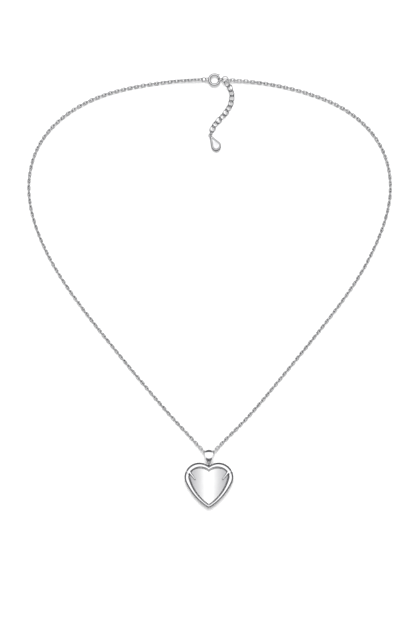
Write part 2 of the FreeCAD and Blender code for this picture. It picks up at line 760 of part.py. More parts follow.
def tab_slot():
    """Slot along the tube's outside in which the bolt's thumb tab travels."""
    half = size("tab_size") / 2 + PLAY
    inner = size("clasp_radius") + size("clasp_bore") / 6
    outer = size("clasp_radius") + size("clasp_tube")
    outline = [(inner, -half), (outer, -half), (outer, half), (inner, half), (inner, -half)]
    face = Part.Face(Part.makePolygon([Vector(x, 0, z) for x, z in outline]))
    slot = doc.addObject("Part::Feature", "TabSlot")
    slot.Shape = face.revolve(Vector(), UP, size("bolt_travel") + 2 * size("tab_room"))
    slot.Placement = Placement(CLASP, Rotation(UP, size("tab_angle") - size("tab_room")))
    return slot


def clasp():
    """Spring ring: a bent tube with a gap, closed by a bolt that a spring pushes out of the tube."""
    gap_from, gap_to = size("gap_from"), size("gap_to")
    mouth, seat_deep = 1.0, size("bolt_seat")
    half_tube, half_bore = "Sizes.clasp_tube * 0.5 mm", "Sizes.clasp_bore * 0.5 mm"
    half_bolt, spring_bore = "Sizes.bolt_wire * 0.5 mm", "Sizes.bolt_wire * 0.3 mm"
    wall = arc_rod("TubeWall", half_tube, gap_to, "(360 + Sizes.gap_from - Sizes.gap_to) * 1 deg")
    bore_sweep = f"(Sizes.bore_end - Sizes.gap_to + {mouth}) * 1 deg"
    bore = arc_rod("TubeBore", half_bore, gap_to - mouth, bore_sweep)
    seat = arc_rod("BoltSeat", half_bore, gap_from - seat_deep, f"(Sizes.bolt_seat + {mouth}) * 1 deg")
    node(cut("ClaspTube", wall, bore, seat, tab_slot()), "clasp_tube")
    short_of_seat = 2.0
    bolt_sweep = f"(Sizes.bolt_tail - Sizes.gap_from + Sizes.bolt_seat - {short_of_seat}) * 1 deg"
    rod = arc_rod("BoltRod", half_bolt, gap_from - seat_deep + short_of_seat, bolt_sweep)
    way = heading(size("tab_angle"))
    stem = doc.addObject("Part::Cylinder", "TabStem")
    bind(stem, Radius="Sizes.tab_size * 0.5 mm", Height="(Sizes.clasp_tube * 0.5 + Sizes.tab_reach) * 1 mm")
    stem.Placement = Placement(CLASP + way * size("clasp_radius"), Rotation(UP, way))
    head = doc.addObject("Part::Sphere", "TabHead")
    bind(head, Radius="Sizes.tab_head * 0.5 mm")
    head.Placement.Base = CLASP + way * (tube_outside + size("tab_reach"))
    bolt = doc.addObject("Part::MultiFuse", "ClaspBolt")
    bolt.Shapes = [rod, stem, head]
    node(bolt, "clasp_bolt")
    end_play = 1.0
    spring_sweep = f"(Sizes.bore_end - Sizes.bolt_tail - 2 * {end_play}) * 1 deg"
    coil = arc_rod("SpringOutside", half_bolt, size("bolt_tail") + end_play, spring_sweep)
    through = "(Sizes.bore_end - Sizes.bolt_tail) * 1 deg"
    hollow = arc_rod("SpringInside", spring_bore, size("bolt_tail"), through)
    node(cut("ClaspSpring", coil, hollow), "clasp_spring")
    loop_ring = torus("LoopRing", "loop_radius", "loop_wire")
    loop_ring.Placement.Base = loop_at
    node(cut("ClaspLoop", loop_ring, wall), "clasp_loop")
    jump = torus("ClaspJumpRing", "clasp_jump_radius", "clasp_jump_wire")
    node(jump, "clasp_jump_ring", rolled(frame_at(clasp_jump_at, EAST, UP), size("clasp_lean")))


def catch_rings():
    link = torus("CatchLink", "catch_link_radius", "catch_link_wire")
    node(link, "catch_link", rolled(frame_at(catch_link_at, EAST, UP), size("catch_link_roll")))
    node(torus("CatchRing", "catch_radius", "catch_wire"), "catch_ring", Placement(catch_at, Rotation()))


# ---------------------------------------------------------------- extender and tag
def extender():
    """Round rings, each turned a quarter from the last, with a drop-shaped tag at the far end."""
    away = heading(size("extender_leaves"))
    near = inside("catch_radius", "catch_wire", size("ext_wire")) - size("ext_play")
    first = catch_at + away * (near + size("ext_radius"))
    route = Part.BSplineCurve()
    points = [first] + [Vector(x, y, first.z) for x, y in EXTENDER_ROUTE]
    route.interpolate(Points=points, InitialTangent=away)
    pitch = 2 * size("ext_radius") - size("ext_wire") - size("ext_play")
    count = int(size("extender_rings"))
    centres = [route.value(route.parameterAtDistance(pitch * number)) for number in range(count)]
    parent, held_at, held_across = "catch_ring", catch_at + away * size("catch_radius"), UP.cross(away)
    for number, centre in enumerate(centres):
        ahead = centres[number + 1] if number + 1 < count else 2 * centre - centres[number - 1]
        behind = centres[number - 1] if number else catch_at
        roll = -size("ext_roll") * (-1) ** number
        place = rolled(frame_at(centre, ahead - behind, UP), roll)
        name = f"extender_{number + 1:02d}"
        node(torus(name.title().replace("_", ""), "ext_radius", "ext_wire"), name, place)
        hinge(f"{name}_swing", parent, name, held_at, held_across)
        parent = name
        held_at = place.multVec(Vector(size("ext_radius"), 0, 0))
        held_across = place.Rotation.multVec(Vector(0, 1, 0))
    side_step = math.radians(size("tag_ring_aside"))
    way = place.Rotation.multVec(EAST) * math.cos(side_step)
    way += place.Rotation.multVec(BACK) * math.sin(side_step)
    reach = inside("ext_radius", "ext_wire", size("tag_ring_wire")) + size("tag_ring_radius")
    ring_at = centre + way * reach
    ring_place = rolled(frame_at(ring_at, way, UP), math.copysign(size("tag_ring_roll"), -roll))
    node(torus("TagRing", "tag_ring_radius", "tag_ring_wire"), "tag_ring", ring_place)
    hinge("tag_ring_swing", parent, "tag_ring", held_at, held_across)
    hinge("tag_swing", "tag_ring", "tag", ring_at + way * size("tag_ring_radius"),
          ring_place.Rotation.multVec(Vector(0, 1, 0)))
    tag(ring_at, way)


def tag(ring_at, ring_way):
    """Puffed drop with a soldered eye at its tip, which hangs on the tag ring."""
    near_wire = ring_at + ring_way * inside("tag_ring_radius", "tag_ring_wire", size("tag_eye_wire"))
    along = Vector(ring_way.x, ring_way.y, 0).normalize()
    eye_at = near_wire + along * size("tag_eye_radius")
    way = heading(size("tag_leaves"))
    tip = size("tag_eye_radius") + size("tag_eye_gap")
    long = size("tag_long")
    end_r, tip_r = size("tag_radius"), size("tag_tip_radius")
    outline = tapered_outline(-tip - tip_r, tip_r, -tip - long + end_r, end_r, in_plane)
    drop = outline.extrude(UP * size("tag_thick"))
    rims = [edge for edge in drop.Edges if edge.BoundBox.ZLength < 1e-6]
    widest_round = min(tip_r, size("tag_thick") / 2) - 0.02
    drop = drop.makeFillet(min(size("tag_round"), widest_round), rims)
    body = doc.addObject("Part::Feature", "Tag")
    body.Shape = drop
    node(body, "tag", Placement(eye_at - UP * size("tag_thick") / 2, Rotation(Vector(0, -1, 0), way)))
    eye = torus("TagEyeRing", "tag_eye_radius", "tag_eye_wire")
    eye.Placement.Base = eye_at
    doc.recompute()
    node(cut("TagEye", eye, body), "tag_eye")


def in_plane(across, y):
    return Vector(across, y, 0)


last_links = chain()
clasp()
catch_rings()
extender()


# ---------------------------------------------------------------- check and write
def write_parts():
    doc.recompute()
    for obj in doc.Objects:
        if "Invalid" in obj.State or "Error" in obj.State:
            raise RuntimeError(f"{obj.Name} did not build: {obj.State}")
    os.makedirs("parts", exist_ok=True)
    for obj in NODES:
        if obj.Shape.isNull() or not obj.Shape.isValid():
            raise RuntimeError(f"{obj.Label} has no valid shape")
        obj.Shape.exportStep(f"parts/{obj.Label}.step")
        box = obj.Shape.BoundBox
        print(f"{obj.Label:20s} solids {len(obj.Shape.Solids):3d}  volume {obj.Shape.Volume:9.3f}"
              f"  z {box.ZMin:6.3f} to {box.ZMax:6.3f}")


write_parts()
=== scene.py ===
import math

import bmesh
import bpy
import numpy as np
from mathutils import Matrix, Vector


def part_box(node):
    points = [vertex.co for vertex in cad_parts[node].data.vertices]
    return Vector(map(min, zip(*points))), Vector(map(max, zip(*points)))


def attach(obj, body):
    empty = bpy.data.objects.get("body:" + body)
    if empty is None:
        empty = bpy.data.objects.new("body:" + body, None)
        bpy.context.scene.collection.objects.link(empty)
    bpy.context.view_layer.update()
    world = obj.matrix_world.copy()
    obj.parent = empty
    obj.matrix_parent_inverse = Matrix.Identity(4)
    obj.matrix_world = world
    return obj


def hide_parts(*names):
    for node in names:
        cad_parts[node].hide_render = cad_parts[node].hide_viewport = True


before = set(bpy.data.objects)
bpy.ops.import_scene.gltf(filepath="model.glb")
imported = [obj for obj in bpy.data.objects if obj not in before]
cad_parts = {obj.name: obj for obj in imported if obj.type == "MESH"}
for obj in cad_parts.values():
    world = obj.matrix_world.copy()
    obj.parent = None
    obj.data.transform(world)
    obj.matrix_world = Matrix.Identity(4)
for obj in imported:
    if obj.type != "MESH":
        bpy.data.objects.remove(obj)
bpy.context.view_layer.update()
mm = 0.001


# ------------------------------------------------------------------ table, light and camera
# The necklace lies spread on a plain white table, seen from straight above.
# Light comes from a broad bright ceiling that darkens towards the horizon, which is what
# polished silver mirrors: white where it faces up and dark where it turns down at its edges.
def unselect():
    bpy.ops.object.select_all(action="DESELECT")


def linear(code):
    """The linear colour of an sRGB hex value, with alpha."""
    channels = [int(code[at:at + 2], 16) / 255 for at in (1, 3, 5)]
    return [c / 12.92 if c <= 0.04045 else ((c + 0.055) / 1.055) ** 2.4 for c in channels] + [1.0]


def add_node(tree, kind, settings=None, values=None, links=None):
    """Add one node with its settings, its sockets' values and the links that feed it."""
    made = tree.nodes.new(kind)
    for name, value in (settings or {}).items():
        setattr(made, name, value)
    for name, value in (values or {}).items():
        made.inputs[name].default_value = value
    for name, source in (links or {}).items():
        tree.links.new(source, made.inputs[name])
    return made


def set_ramp(ramp, stops):
    """Give a Color Ramp node these (position, hex colour) stops."""
    elements = ramp.color_ramp.elements
    while len(elements) < len(stops):
        elements.new(0.5)
    for element, (position, code) in zip(elements, stops):
        element.position = position
        element.color = linear(code)


def new_material(name):
    material = bpy.data.materials.new(name)
    material.use_nodes = True
    return material, material.node_tree, material.node_tree.nodes["Principled BSDF"]


unselect()
bpy.ops.mesh.primitive_plane_add(size=6.0, location=(0, 0, -0.02 * mm))
table = bpy.context.object
table.name = "table"
# Matt coated board: plain white, with no reflection of its own.
paper, tree, shader = new_material("matt_white_table_board")
shader.inputs["Base Color"].default_value = linear("#FBFBFB")
shader.inputs["Roughness"].default_value = 0.9
table.data.materials.append(paper)
table.visible_glossy = False

world = bpy.data.worlds.new("studio_ceiling")
bpy.context.scene.world = world
world.use_nodes = True
tree = world.node_tree
tree.nodes.clear()
coords = add_node(tree, "ShaderNodeTexCoord")
split = add_node(tree, "ShaderNodeSeparateXYZ", links={"Vector": coords.outputs["Generated"]})
height = add_node(tree, "ShaderNodeMapRange", values={"From Min": -1.0}, links={"Value": split.outputs["Z"]})
sky = add_node(tree, "ShaderNodeValToRGB", links={"Fac": height.outputs["Result"]})
set_ramp(sky, [(0.0, "#1C1C1E"), (0.26, "#303032"), (0.40, "#C4C4C6"), (0.50, "#3A3A3C"),
               (0.70, "#262628"), (0.85, "#7C7C7E"), (0.93, "#FFFFFF")])
glow = add_node(tree, "ShaderNodeBackground", values={"Strength": 1.25},
                links={"Color": sky.outputs["Color"]})
add_node(tree, "ShaderNodeOutputWorld", links={"Surface": glow.outputs["Background"]})

# A long lens straight above the middle of the layout, level with the rings' mid height.
VIEW_MIDDLE = (-0.36 * mm, 69.2 * mm)
VIEW_TALL = 249.6 * mm
VIEW_LEVEL = 1.0 * mm
LENS = 120.0
SENSOR = 36.0
unselect()
bpy.ops.object.camera_add(location=(*VIEW_MIDDLE, VIEW_TALL * LENS / SENSOR + VIEW_LEVEL), rotation=(0, 0, 0))
camera = bpy.context.object
camera.name = "camera"
camera.data.lens = LENS
camera.data.sensor_width = SENSOR
camera.data.clip_end = 20.0
bpy.context.scene.camera = camera

# White stays white: the view has no film curve.
bpy.context.scene.view_settings.view_transform = "Standard"

unselect()
bpy.ops.object.light_add(type="SUN", location=(0.0, 0.6, 0.8), rotation=(math.radians(-40), 0, 0))
softbox = bpy.context.object
softbox.name = "softbox"
softbox.data.angle = math.radians(45)
softbox.data.energy = 3.6
softbox.visible_glossy = False


# ------------------------------------------------------------------ setting's back plate
# A flat heart of sheet silver that closes the back of the setting and carries the stone.
# It is sawn out, its rim is filed round, and its back is left with a fine satin finish.
def finished(obj, angle=40.0):
    """Smooth shading with crisp creases, and the object left selected by itself."""
    unselect()
    obj.select_set(True)
    bpy.context.view_layer.objects.active = obj
    bpy.ops.object.shade_smooth_by_angle(angle=math.radians(angle))
    return obj


def applied(obj, kind, name, **settings):
    """Add one modifier, set it and apply it."""
    modifier = obj.modifiers.new(name, kind)
    for key, value in settings.items():
        setattr(modifier, key, value)
    unselect()
    obj.select_set(True)
    bpy.context.view_layer.objects.active = obj
    bpy.ops.object.modifier_apply(modifier=name)
    return obj


def silver(name, colour, rough, wear_size, scratch_size, scratch_depth):
    """Polished metal whose gloss varies in soft patches and which has fine tumbling scratches."""
    material, nodes, metal = new_material(name)
    metal.inputs["Metallic"].default_value = 1.0
    place = add_node(nodes, "ShaderNodeTexCoord")
    patches = add_node(nodes, "ShaderNodeTexNoise", values={"Scale": 1 / (wear_size * mm), "Detail": 3.0},
                       links={"Vector": place.outputs["Object"]})
    tint = add_node(nodes, "ShaderNodeValToRGB", links={"Fac": patches.outputs["Fac"]})
    set_ramp(tint, [(0.3, colour[0]), (0.7, colour[1])])
    gloss = add_node(nodes, "ShaderNodeMapRange", values={"To Min": rough[0], "To Max": rough[1]},
                     links={"Value": patches.outputs["Fac"]})
    grain = add_node(nodes, "ShaderNodeTexNoise", values={"Scale": 1 / (scratch_size * mm), "Detail": 2.0},
                     links={"Vector": place.outputs["Object"]})
    dents = add_node(nodes, "ShaderNodeBump", values={"Strength": 0.15, "Distance": scratch_depth * mm},
                     links={"Height": grain.outputs["Fac"]})
    nodes.links.new(tint.outputs["Color"], metal.inputs["Base Color"])
    nodes.links.new(gloss.outputs["Result"], metal.inputs["Roughness"])
    nodes.links.new(dents.outputs["Normal"], metal.inputs["Normal"])
    return material


def repaint(obj, material):
    obj.data.materials.clear()
    obj.data.materials.append(material)


def smooth_copy(node, material, body, angle=40.0, edge=0.0):
    """A merged, smoothed copy of a node's own mesh, with its sharp edges eased by `edge` millimetres."""
    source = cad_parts[node]
    copy = bpy.data.objects.new(node + "_finished", source.data.copy())
    bpy.context.scene.collection.objects.link(copy)
    unselect()
    copy.select_set(True)
    bpy.context.view_layer.objects.active = copy
    bpy.ops.object.mode_set(mode="EDIT")
    bpy.ops.mesh.select_all(action="SELECT")
    bpy.ops.mesh.remove_doubles(threshold=0.0004 * mm)
    if edge:
        bpy.ops.mesh.dissolve_limited(angle_limit=math.radians(0.5))
    bpy.ops.object.mode_set(mode="OBJECT")
    if edge:
        applied(copy, "BEVEL", "eased", width=edge * mm, segments=3, limit_method="ANGLE",
                angle_limit=math.radians(35))
    repaint(copy, material)
    finished(copy, angle)
    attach(copy, body)
    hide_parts(node)


# Rhodium-plated sterling, satin on the back: cool pale grey with a soft sheen.
satin_back = silver(
    "satin_rhodium_plated_silver", colour=("#DCDCDE", "#E6E6E8"), rough=(0.28, 0.36),
    wear_size=3.0, scratch_size=0.08, scratch_depth=0.02,
)
smooth_copy("back_plate", satin_back, "pendant", edge=0.12)


# ------------------------------------------------------------------ heart rims and claws
# Two cast bands of half-round section frame the stone: a V round the tip, and one over both
# lobes whose ends are drawn out into a claw each. Both are soldered on the plate and polished.
OUTER = dict(crown=(3.9, 3.03, 5.9), shoulder=5.2, width=9.75, side=24.0, drop=8.8, tip=1.3)
WINDOW = dict(crown=(3.6, 1.47, 5.63), shoulder=3.2, width=7.75, side=18.0, drop=7.6, tip=0.4)


def circles_meet(first, first_radius, second, second_radius):
    """The crossing of two circles that lies to the left of the line from the second to the first."""
    line = first - second
    apart = line.length
    line.normalize()
    along = (apart**2 + second_radius**2 - first_radius**2) / (2 * apart)
    return second + line * along + Vector((-line.y, line.x)) * math.sqrt(second_radius**2 - along**2)


def heart(shape, grow=0.0, level=0.0):
    """A closed heart outline of four arcs a side, in millimetres, from the cleft round to the left."""
    crown, crown_r = Vector(shape["crown"][:2]), shape["crown"][2] + grow
    shoulder_r, side_r, tip_r = shape["shoulder"] + grow, shape["side"] + grow, shape["tip"] + grow
    across = shape["width"] + grow - shoulder_r
    rise = math.sqrt((crown_r - shoulder_r) ** 2 - (across - crown.x) ** 2)
    shoulder = Vector((across, crown.y + rise))
    tip = Vector((0, tip_r - shape["drop"] - grow))
    side = circles_meet(shoulder, side_r - shoulder_r, tip, side_r - tip_r)
    up = math.atan2(*(shoulder - crown).yx)
    out = math.atan2(*(shoulder - side).yx)
    low = math.atan2(*(tip - side).yx)
    cleft = math.atan2(math.sqrt(crown_r**2 - crown.x**2), -crown.x)
    arcs = [(crown, crown_r, cleft, up, 16), (shoulder, shoulder_r, up, out, 8),
            (side, side_r, out, low, 16), (tip, tip_r, low, -math.pi / 2, 6)]
    half = []
    for centre, radius, start, end, steps in arcs:
        for step in range(steps):
            angle = start + (end - start) * step / steps
            half.append((centre.x + radius * math.cos(angle), centre.y + radius * math.sin(angle)))
    half[0] = (0.0, half[0][1])
    foot = (0.0, tip.y - tip_r)
    ring = half + [foot] + [(-x, y) for x, y in reversed(half[1:])]
    return [Vector((x, y, level)) for x, y in ring]


def between(first, second, share, level):
    """The outline that lies a share of the way from one outline to another, at a height."""
    ring = [a.lerp(b, share) for a, b in zip(first, second)]
    return [Vector((p.x, p.y, level)) for p in ring]


def drawn_through(name, rings, close="loop"):
    """A skin drawn out ring by ring, each set to its outline in millimetres, then closed."""
    unselect()
    bpy.ops.mesh.primitive_circle_add(vertices=len(rings[0]), radius=1 * mm)
    skin = bpy.context.object
    skin.name = name
    bpy.ops.object.mode_set(mode="EDIT")
    for number, ring in enumerate(rings):
        if number:
            bpy.ops.mesh.extrude_edges_move()
        mesh = bmesh.from_edit_mesh(skin.data)
        for vert, place in zip([v for v in mesh.verts if v.select], ring):
            vert.co = place * mm
        bmesh.update_edit_mesh(skin.data)
        if close == "caps" and number in (0, len(rings) - 1):
            bpy.ops.mesh.edge_face_add()
    bpy.ops.mesh.select_all(action="SELECT")
    bpy.ops.mesh.remove_doubles(threshold=0.0005 * mm)
    bpy.ops.mesh.normals_make_consistent(inside=False)
    bpy.ops.object.mode_set(mode="OBJECT")
    return skin


def prism(name, corners, low, high):
    """A straight block with these corners, for cutting with."""
    return drawn_through(name, [[Vector((x, y, low)) for x, y in corners],
                                [Vector((x, y, high)) for x, y in corners]], "caps")


def carved(obj, operation, *tools):
    """Cut, keep or add with each tool in turn, and throw the tools away."""
    for tool in tools:
        applied(obj, "BOOLEAN", "carve", operation=operation, object=tool, solver="EXACT")
        bpy.data.objects.remove(tool)
    return obj


def pillow(first, second, low, top, steps, power):
    """Rings of a rounded top from one outline over to another."""
    rings = []
    for step in range(steps + 1):
        turn = math.pi * step / steps
        share = 0.5 - 0.5 * math.cos(turn)
        rings.append(between(first, second, share, low + (top - low) * math.sin(turn) ** power))
    return rings


PLATE_TOP = 0.8
LIP_UNDER = 2.0
RIM_TOP = 3.0
LIP_OVERLAP = 0.3
SEAM_GAP = 0.26
SEAM_INNER = Vector((6.75, 1.1))
SEAM_OUTER = Vector((10.75, 9.9))
CLAW_ROOT_R = 0.8
CLAW_TIP_R = 0.26
outer_edge = heart(OUTER)
inner_edge = heart(WINDOW)
seat_edge = heart(WINDOW, LIP_OVERLAP)
band_rings = [between(outer_edge, outer_edge, 0, PLATE_TOP)]
band_rings += pillow(outer_edge, inner_edge, LIP_UNDER, RIM_TOP, 14, 0.72)
band_rings += [between(seat_edge, seat_edge, 0, LIP_UNDER), between(seat_edge, seat_edge, 0, PLATE_TOP)]
band_rings += [band_rings[0]]


def seam_block(name, upper):
    """All above, or below, the two steep seams, less half the gap."""
    seam = (SEAM_OUTER - SEAM_INNER).normalized()
    step = Vector((-seam.y, seam.x)) * (SEAM_GAP / 2 if upper else -SEAM_GAP / 2)
    far = 20.0 if upper else -20.0
    right = [SEAM_INNER + step, SEAM_OUTER + step, Vector((SEAM_OUTER.x, far))]
    corners = [(p.x, p.y) for p in right] + [(-p.x, p.y) for p in reversed(right)]
    return prism(name, corners, 0.0, 2 * RIM_TOP)


def tapered_rod(name, path, sides=16):
    """A round rod through (centre, radius) stations, closed at both ends."""
    angles = [2 * math.pi * side / sides for side in range(sides)]
    rings = []
    for number, (centre, radius) in enumerate(path):
        ahead = path[min(number + 1, len(path) - 1)][0] - path[max(number - 1, 0)][0]
        turn = ahead.to_track_quat("Z", "Y")
        ring = [centre + turn @ Vector((radius * math.cos(a), radius * math.sin(a), 0)) for a in angles]
        rings.append(ring)
    return drawn_through(name, rings, "caps")


def claw(side):
    """A prong that leaves the band, narrows, and comes down on the stone with a round end."""
    root, tip = Vector((side * 7.75, 5.35, 2.25)), Vector((side * 5.5, 2.55, 2.97))
    knee = Vector((side * 6.75, 4.0, 2.75))
    stations = []
    for step in range(9):
        share = step / 8
        centre = root.lerp(knee, share).lerp(knee.lerp(tip, share), share)
        stations.append((centre, CLAW_ROOT_R + (CLAW_TIP_R - CLAW_ROOT_R) * share**0.8))
    way = (tip - knee).normalized()
    for turn in (25, 50, 70, 85):
        angle = math.radians(turn)
        stations.append((tip + way * CLAW_TIP_R * math.sin(angle), CLAW_TIP_R * math.cos(angle)))
    return tapered_rod("claw", stations)


# Rhodium-plated sterling, mirror polished: almost white, with hairline wear only.
bright_silver = silver(
    "mirror_polished_rhodium_plated_silver", colour=("#ECECEE", "#F6F6F7"), rough=(0.05, 0.10),
    wear_size=4.0, scratch_size=0.15, scratch_depth=0.01,
)
rim_lower = carved(drawn_through("heart_rim_lower", band_rings), "INTERSECT", seam_block("below", False))
rim_upper = carved(drawn_through("heart_rim_upper", band_rings), "INTERSECT", seam_block("above", True))
carved(rim_upper, "UNION", claw(-1), claw(1))
for rim, node in ((rim_lower, "rim_lower"), (rim_upper, "rim_upper")):
    repaint(rim, bright_silver)
    finished(rim, 35.0)
    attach(rim, "pendant")
    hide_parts(node)


# ------------------------------------------------------------------ stone
# A heart cabochon of glossy white stone: an upright girdle held under the rims' lip, a narrow
# polished bevel and a low dome. It is ground to shape, polished and dropped in from the front.
GIRDLE_TOP = 1.3
BEVEL_FROM = 2.42
DOME_FROM = 2.55
DOME_RISE = 0.17
# It lies a little low in its seat, which leaves a dark line under both lobes.
SETTLED = Vector((0, -0.16, 0))
girdle = heart(WINDOW, 0.27)
face_edge = [place + SETTLED for place in heart(WINDOW, -0.24)]
bevel_top = [place + SETTLED for place in heart(WINDOW, -0.36)]
middle = [Vector((0, -0.6, 0))] * len(girdle)
stone_rings = [between(girdle, girdle, 0, PLATE_TOP), between(girdle, girdle, 0, GIRDLE_TOP)]
stone_rings += [between(face_edge, face_edge, 0, GIRDLE_TOP), between(face_edge, face_edge, 0, BEVEL_FROM)]
for share in (0.0, 0.06, 0.16, 0.3, 0.46, 0.62, 0.78, 0.92):
    dome = DOME_FROM + DOME_RISE * math.sin(share * math.pi / 2)
    stone_rings.append(between(bevel_top, middle, share, dome))
stone = drawn_through("heart_cabochon", stone_rings, "caps")

# White opaque glass-like stone, with a painted highlight down the middle and painted shade to pale grey at
# both sides; a faint cloud varies the tone at random.
STONE_REACH = 7.6
CLOUD_SIZE = 5.0
stone_painted_sheen_material, tree, shader = new_material("white_cabochon_painted_sheen")
place = add_node(tree, "ShaderNodeTexCoord")
axes = add_node(tree, "ShaderNodeSeparateXYZ", links={"Vector": place.outputs["Object"]})
aside = add_node(tree, "ShaderNodeMath", {"operation": "ABSOLUTE"}, links={0: axes.outputs["X"]})
painted_shade_outward = add_node(tree, "ShaderNodeMapRange", values={"From Max": STONE_REACH * mm},
                   links={"Value": aside.outputs[0]})
cloud = add_node(tree, "ShaderNodeTexNoise", values={"Scale": 1 / (CLOUD_SIZE * mm), "Detail": 2.0},
                 links={"Vector": place.outputs["Object"]})
drift = add_node(tree, "ShaderNodeMath", {"operation": "MULTIPLY_ADD"}, {1: 0.12, 2: -0.06},
                 {0: cloud.outputs["Fac"]})
where = add_node(tree, "ShaderNodeMath", {"operation": "ADD"},
                 links={0: painted_shade_outward.outputs["Result"], 1: drift.outputs[0]})
# This ramp paints the highlight white down the middle and paints shade grey towards both sides, by distance
# from the middle.
shade = add_node(tree, "ShaderNodeValToRGB", links={"Fac": where.outputs[0]})
set_ramp(shade, [(0.0, "#E8E8E8"), (0.2, "#DCDCDC"), (0.5, "#BCBCBD"), (0.75, "#A8A8AA"), (1.0, "#9A9A9D")])
tree.links.new(shade.outputs["Color"], shader.inputs["Base Color"])
shader.inputs["Roughness"].default_value = 0.12
shader.inputs["IOR"].default_value = 1.54
shader.inputs["Coat Weight"].default_value = 0.3
shader.inputs["Coat Roughness"].default_value = 0.04
repaint(stone, stone_painted_sheen_material)
finished(stone, 30.0)
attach(stone, "pendant")
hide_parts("stone")


# ------------------------------------------------------------------ eyelet and jump ring
# A small wire eye soldered into the cleft of the heart, and an upright jump ring through it.
# Both are round drawn wire bent round a mandrel; the jump ring is closed with a fine butt joint.
def principal(points):
    """Middle and axes of a cloud of points: longest axis first, a right-handed set."""
    rough = points.mean(axis=0)
    axes = np.linalg.svd((points - rough)[::3], full_matrices=False)[2]
    axes[2] = np.cross(axes[0], axes[1])
    spread = (points - rough) @ axes.T
    centre = rough + ((spread.max(axis=0) + spread.min(axis=0)) / 2) @ axes
    turn = Matrix([list(axis) for axis in axes]).transposed().to_4x4()
    return Matrix.Translation(Vector(centre)) @ turn


def node_points(node):
    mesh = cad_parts[node].data
    flat = np.empty(len(mesh.vertices) * 3)
    mesh.vertices.foreach_get("co", flat)
    return flat.reshape(-1, 3)


def wire_ring(name, node, radius, wire, material, body, joint_at=90.0):
    """A round ring lying where the node lies, with the shallow groove of its closed joint."""
    steps = 72
    unselect()
    bpy.ops.mesh.primitive_torus_add(major_segments=steps, minor_segments=18, major_radius=radius * mm,
                                     minor_radius=wire / 2 * mm)
    ring = bpy.context.object
    ring.name = name
    joint = round(joint_at / 360 * steps) * 2 * math.pi / steps
    way = Vector((math.cos(joint), math.sin(joint), 0))
    bpy.ops.object.mode_set(mode="EDIT")
    bpy.ops.mesh.select_all(action="DESELECT")
    mesh = bmesh.from_edit_mesh(ring.data)
    for vert in mesh.verts:
        level = Vector((vert.co.x, vert.co.y, 0))
        vert.select = level.normalized().dot(way) > math.cos(math.pi / steps)
    mesh.select_flush(True)
    bmesh.update_edit_mesh(ring.data)
    bpy.ops.transform.resize(value=(0.8, 0.8, 0.8), center_override=way * radius * mm)
    bpy.ops.object.mode_set(mode="OBJECT")
    ring.data.transform(principal(node_points(node)))
    repaint(ring, material)
    finished(ring, 50.0)
    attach(ring, body)
    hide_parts(node)


smooth_copy("eyelet", bright_silver, "pendant")
wire_ring("jump_ring_finished", "jump_ring", radius=1.1, wire=0.7, material=bright_silver,
          body="jump_ring", joint_at=200.0)


# ------------------------------------------------------------------ bail
# One strip of sheet silver, wide at the top and narrow at the foot, domed across its width and
# folded into a hoop for the chain. Its two ends meet and share the hole that the ring goes through.
STRIP = 0.4
CROWN = 0.16
FOOT_R = 1.1
HOLE_R = 0.525
LEG_STEPS = 14
HOOP_STEPS = 20
# Below 1 the hoop's corners are squarer than a circle's, and above 2 the legs' are.
HOOP_SQUARE = 0.72
LEG_SQUARE = 2.8
low, high = (Vector(corner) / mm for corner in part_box("bail"))
hoop_r = (high.z - low.z) / 2
hoop_z = (high.z + low.z) / 2
hoop_y = high.y - hoop_r


def bail_half_width(y):
    """Half the strip's width, seen from the front, at a height."""
    if y > hoop_y:
        return math.sqrt(max(hoop_r**2 - (y - hoop_y) ** 2, 0.3))
    if y < low.y + FOOT_R:
        return math.sqrt(max(FOOT_R**2 - (low.y + FOOT_R - y) ** 2, 0.01))
    share = (y - low.y - FOOT_R) / (hoop_y - low.y - FOOT_R)
    return FOOT_R + (hoop_r - FOOT_R) * share


foot_y = low.y + 0.02
front_leg = []
for step in range(LEG_STEPS):
    share = 1 - math.cos(math.pi / 2 * step / (LEG_STEPS - 1))
    y = foot_y + (hoop_y - foot_y) * (1 - share)
    down = (hoop_y - y) / (hoop_y - low.y - STRIP)
    lift = STRIP / 2 + (hoop_r - STRIP) * max(1 - down**LEG_SQUARE, 0) ** 0.5
    front_leg.insert(0, (y, lift))
over = []
for step in range(1, HOOP_STEPS):
    angle = math.pi * step / HOOP_STEPS
    deep = math.copysign(abs(math.cos(angle)) ** HOOP_SQUARE, math.cos(angle))
    rise = math.sin(angle) ** HOOP_SQUARE
    over.append((hoop_y + (hoop_r - STRIP / 2) * rise, (hoop_r - STRIP / 2) * deep))
back_leg = [(y, -lift) for y, lift in reversed(front_leg)]
line = front_leg + over + back_leg
across = [step / 4 for step in range(-4, 5)]
bail_rings = []
for number, (y, lift) in enumerate(line):
    ahead, behind = line[min(number + 1, len(line) - 1)], line[max(number - 1, 0)]
    out = Vector((0, behind[1] - ahead[1], ahead[0] - behind[0])).normalized()
    middle = Vector((0, y, hoop_z + lift))
    wide = bail_half_width(y)
    skin = [middle + Vector((u * wide, 0, 0)) + out * (STRIP / 2 - CROWN * u * u) for u in across]
    lining = [middle + Vector((u * wide, 0, 0)) - out * STRIP / 2 for u in reversed(across)]
    bail_rings.append(skin + lining)
bail = drawn_through("bail_folded_strip", bail_rings, "caps")
hole_y = low.y + STRIP + HOLE_R
round_angles = [math.pi * step / 16 for step in range(32)]
hole = [(HOLE_R * math.cos(a), hole_y + HOLE_R * math.sin(a)) for a in round_angles]
carved(bail, "DIFFERENCE", prism("hole", hole, -1.0, 6.0))
repaint(bail, bright_silver)
finished(bail, 40.0)
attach(bail, "bail")
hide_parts("bail")


